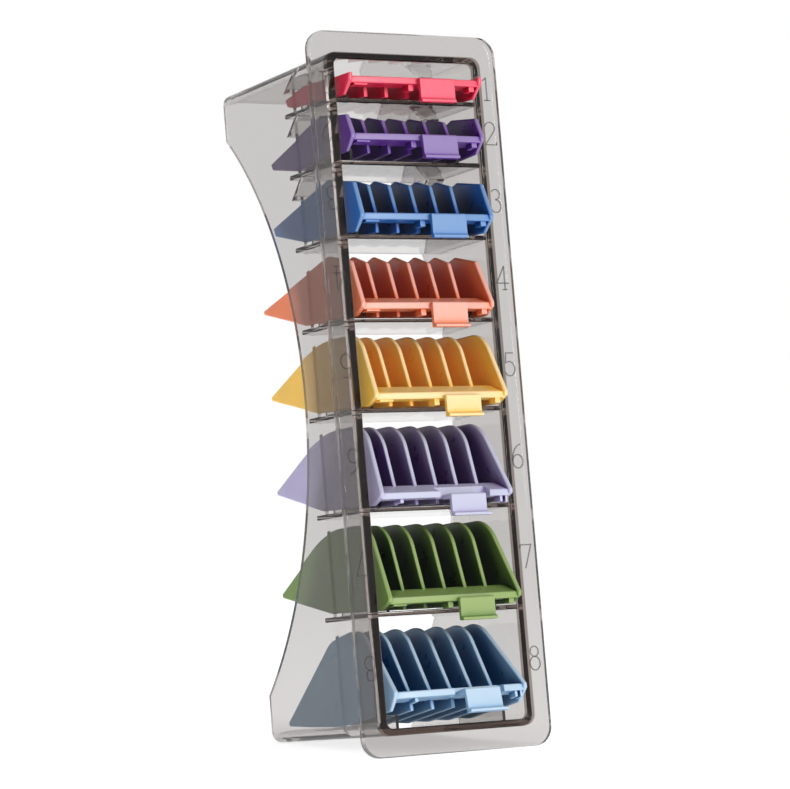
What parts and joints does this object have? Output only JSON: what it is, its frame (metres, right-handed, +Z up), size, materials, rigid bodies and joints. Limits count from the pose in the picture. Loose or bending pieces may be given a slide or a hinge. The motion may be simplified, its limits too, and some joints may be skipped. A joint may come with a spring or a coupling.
{
  "type": "clipper guard comb set",
  "caption": "Colour-coded clipper guard combs, each with a flexing clip tab, that slide out of the numbered compartments of a smoked plastic stand.",
  "frame": {"origin": "on the ground, under the middle of the whole object's bounding box", "axes": "+X to the right seen from the front, +Y to the rear, +Z up; the stand leans back a little, so its own long axis tilts towards +Y"},
  "size_m": [0.0668, 0.0928, 0.214],
  "materials": {
    "smoked_plastic": "clear smoked, polished",
    "red_plastic": "satin moulded",
    "purple_plastic": "satin moulded",
    "blue_plastic": "satin moulded",
    "coral_plastic": "satin moulded",
    "yellow_plastic": "satin moulded",
    "lavender_plastic": "satin moulded",
    "green_plastic": "satin moulded",
    "pale_blue_plastic": "satin moulded"
  },
  "bodies": {
    "stand": {"front_frame": "smoked_plastic", "left_wall": "smoked_plastic", "right_wall": "smoked_plastic", "top_wall": "smoked_plastic", "bottom_wall": "smoked_plastic", "shelf_1": "smoked_plastic", "shelf_2": "smoked_plastic", "shelf_3": "smoked_plastic", "shelf_4": "smoked_plastic", "shelf_5": "smoked_plastic", "shelf_6": "smoked_plastic", "shelf_7": "smoked_plastic", "hold_down_1_left": "smoked_plastic", "hold_down_1_right": "smoked_plastic", "hold_down_2_left": "smoked_plastic", "hold_down_2_right": "smoked_plastic", "hold_down_3_left": "smoked_plastic", "hold_down_3_right": "smoked_plastic"},
    "guard_1": {"guard_1": "red_plastic"},
    "clip_1": {"guard_1_clip": "red_plastic"},
    "guard_2": {"guard_2": "purple_plastic"},
    "clip_2": {"guard_2_clip": "purple_plastic"},
    "guard_3": {"guard_3": "blue_plastic"},
    "clip_3": {"guard_3_clip": "blue_plastic"},
    "guard_4": {"guard_4": "coral_plastic"},
    "clip_4": {"guard_4_clip": "coral_plastic"},
    "guard_5": {"guard_5": "yellow_plastic"},
    "clip_5": {"guard_5_clip": "yellow_plastic"},
    "guard_6": {"guard_6": "lavender_plastic"},
    "clip_6": {"guard_6_clip": "lavender_plastic"},
    "guard_7": {"guard_7": "green_plastic"},
    "clip_7": {"guard_7_clip": "green_plastic"},
    "guard_8": {"guard_8": "pale_blue_plastic"},
    "clip_8": {"guard_8_clip": "pale_blue_plastic"}
  },
  "joints": [
    {"name": "guard_1_slide", "type": "slide", "parent": "stand", "child": "guard_1", "axis": [0, -0.993, 0.1183], "range_m": [0, 0.065]},
    {"name": "guard_2_slide", "type": "slide", "parent": "stand", "child": "guard_2", "axis": [0, -0.993, 0.1183], "range_m": [0, 0.065]},
    {"name": "guard_3_slide", "type": "slide", "parent": "stand", "child": "guard_3", "axis": [0, -0.993, 0.1183], "range_m": [0, 0.065]},
    {"name": "guard_4_slide", "type": "slide", "parent": "stand", "child": "guard_4", "axis": [0, -0.993, 0.1183], "range_m": [0, 0.065]},
    {"name": "guard_5_slide", "type": "slide", "parent": "stand", "child": "guard_5", "axis": [0, -0.993, 0.1183], "range_m": [0, 0.065]},
    {"name": "guard_6_slide", "type": "slide", "parent": "stand", "child": "guard_6", "axis": [0, -0.993, 0.1183], "range_m": [0, 0.065]},
    {"name": "guard_7_slide", "type": "slide", "parent": "stand", "child": "guard_7", "axis": [0, -0.993, 0.1183], "range_m": [0, 0.065]},
    {"name": "guard_8_slide", "type": "slide", "parent": "stand", "child": "guard_8", "axis": [0, -0.993, 0.1183], "range_m": [0, 0.065]},
    {"name": "clip_1_flex", "type": "hinge", "parent": "guard_1", "child": "clip_1", "pos_m": [0.0064, -0.02339, 0.199], "axis": [-1, 0, 0], "range_deg": [0, 10], "stiffness_Nm_per_rad": 0.05},
    {"name": "clip_2_flex", "type": "hinge", "parent": "guard_2", "child": "clip_2", "pos_m": [0.0067, -0.02388, 0.18201], "axis": [-1, 0, 0], "range_deg": [0, 10], "stiffness_Nm_per_rad": 0.05},
    {"name": "clip_3_flex", "type": "hinge", "parent": "guard_3", "child": "clip_3", "pos_m": [0.0067, -0.02814, 0.15828], "axis": [-1, 0, 0], "range_deg": [0, 10], "stiffness_Nm_per_rad": 0.05},
    {"name": "clip_4_flex", "type": "hinge", "parent": "guard_4", "child": "clip_4", "pos_m": [0.0061, -0.02875, 0.13197], "axis": [-1, 0, 0], "range_deg": [0, 10], "stiffness_Nm_per_rad": 0.05},
    {"name": "clip_5_flex", "type": "hinge", "parent": "guard_5", "child": "clip_5", "pos_m": [0.0067, -0.03426, 0.10433], "axis": [-1, 0, 0], "range_deg": [0, 10], "stiffness_Nm_per_rad": 0.05},
    {"name": "clip_6_flex", "type": "hinge", "parent": "guard_6", "child": "clip_6", "pos_m": [0.0064, -0.03281, 0.07424], "axis": [-1, 0, 0], "range_deg": [0, 10], "stiffness_Nm_per_rad": 0.05},
    {"name": "clip_7_flex", "type": "hinge", "parent": "guard_7", "child": "clip_7", "pos_m": [0.0064, -0.04017, 0.0446], "axis": [-1, 0, 0], "range_deg": [0, 10], "stiffness_Nm_per_rad": 0.05},
    {"name": "clip_8_flex", "type": "hinge", "parent": "guard_8", "child": "clip_8", "pos_m": [0.0064, -0.03878, 0.01628], "axis": [-1, 0, 0], "range_deg": [0, 10], "stiffness_Nm_per_rad": 0.05}
  ]
}
